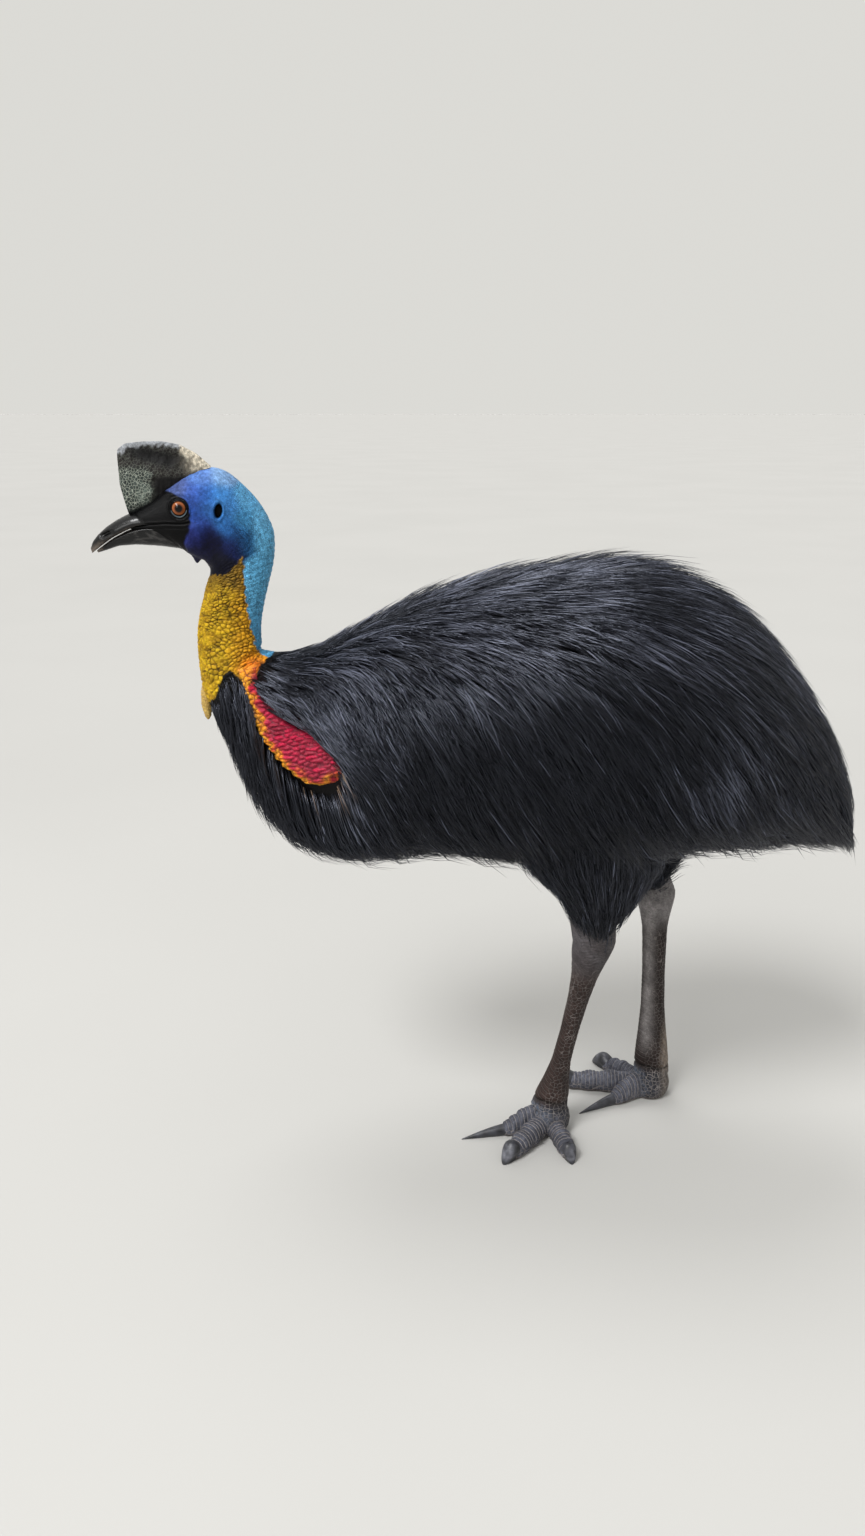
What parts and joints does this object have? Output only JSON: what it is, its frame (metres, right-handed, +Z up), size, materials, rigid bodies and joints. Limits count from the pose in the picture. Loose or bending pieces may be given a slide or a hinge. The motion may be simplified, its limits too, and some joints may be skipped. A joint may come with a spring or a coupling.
{
  "type": "northern cassowary",
  "caption": "Still life-size northern cassowary standing on the ground, with casque, bare blue and yellow neck, red neck strips and long black hair-like plumage.",
  "frame": {"origin": "on the floor, under the centre of the bird's box", "axes": "-X the way the bird faces, -Y to its left, +Z up"},
  "size_m": [1.1374, 0.3942, 1.109],
  "materials": {
    "head_skin": "bare wrinkled skin, violet-blue to turquoise, indigo at the throat",
    "neck_skin": "bare pebbled skin, golden yellow with dark creases",
    "strip_skin": "bare knobbly skin, crimson with an orange-yellow edge",
    "wattle_skin": "soft bare skin, pale yellow",
    "casque_horn": "worn horn, brown-black with a pale worn rear edge",
    "bill_horn": "glossy black horn, worn pale at the tip and edges",
    "eye": "wet, orange-brown iris with a black pupil",
    "plumage": "long coarse hair-like black feathers with a cool sheen, over skin and flesh",
    "leg_skin": "grey-brown scaled skin, paler and dusty at the ankle",
    "claw_horn": "dull dark horn"
  },
  "bodies": {
    "root": {"head": "head_skin", "casque": "casque_horn", "beak_upper": "bill_horn", "beak_lower": "bill_horn", "eye_left": "eye", "eye_right": "eye", "neck_upper": "neck_skin", "neck_lower": "neck_skin", "neck_strip_left": "strip_skin", "neck_strip_right": "strip_skin", "wattle": "wattle_skin", "breast": "plumage", "torso": "plumage", "tail": "plumage", "wing_left": "plumage", "wing_right": "plumage", "thigh_left": "plumage", "thigh_right": "plumage", "shank_left": "leg_skin", "shank_right": "leg_skin", "foot_left": "leg_skin", "foot_right": "leg_skin", "toe_left_inner": "leg_skin", "toe_left_middle": "leg_skin", "toe_left_outer": "leg_skin", "toe_right_inner": "leg_skin", "toe_right_middle": "leg_skin", "toe_right_outer": "leg_skin", "claw_left_inner": "claw_horn", "claw_left_middle": "claw_horn", "claw_left_outer": "claw_horn", "claw_right_inner": "claw_horn", "claw_right_middle": "claw_horn", "claw_right_outer": "claw_horn"}
  },
  "joints": []
}
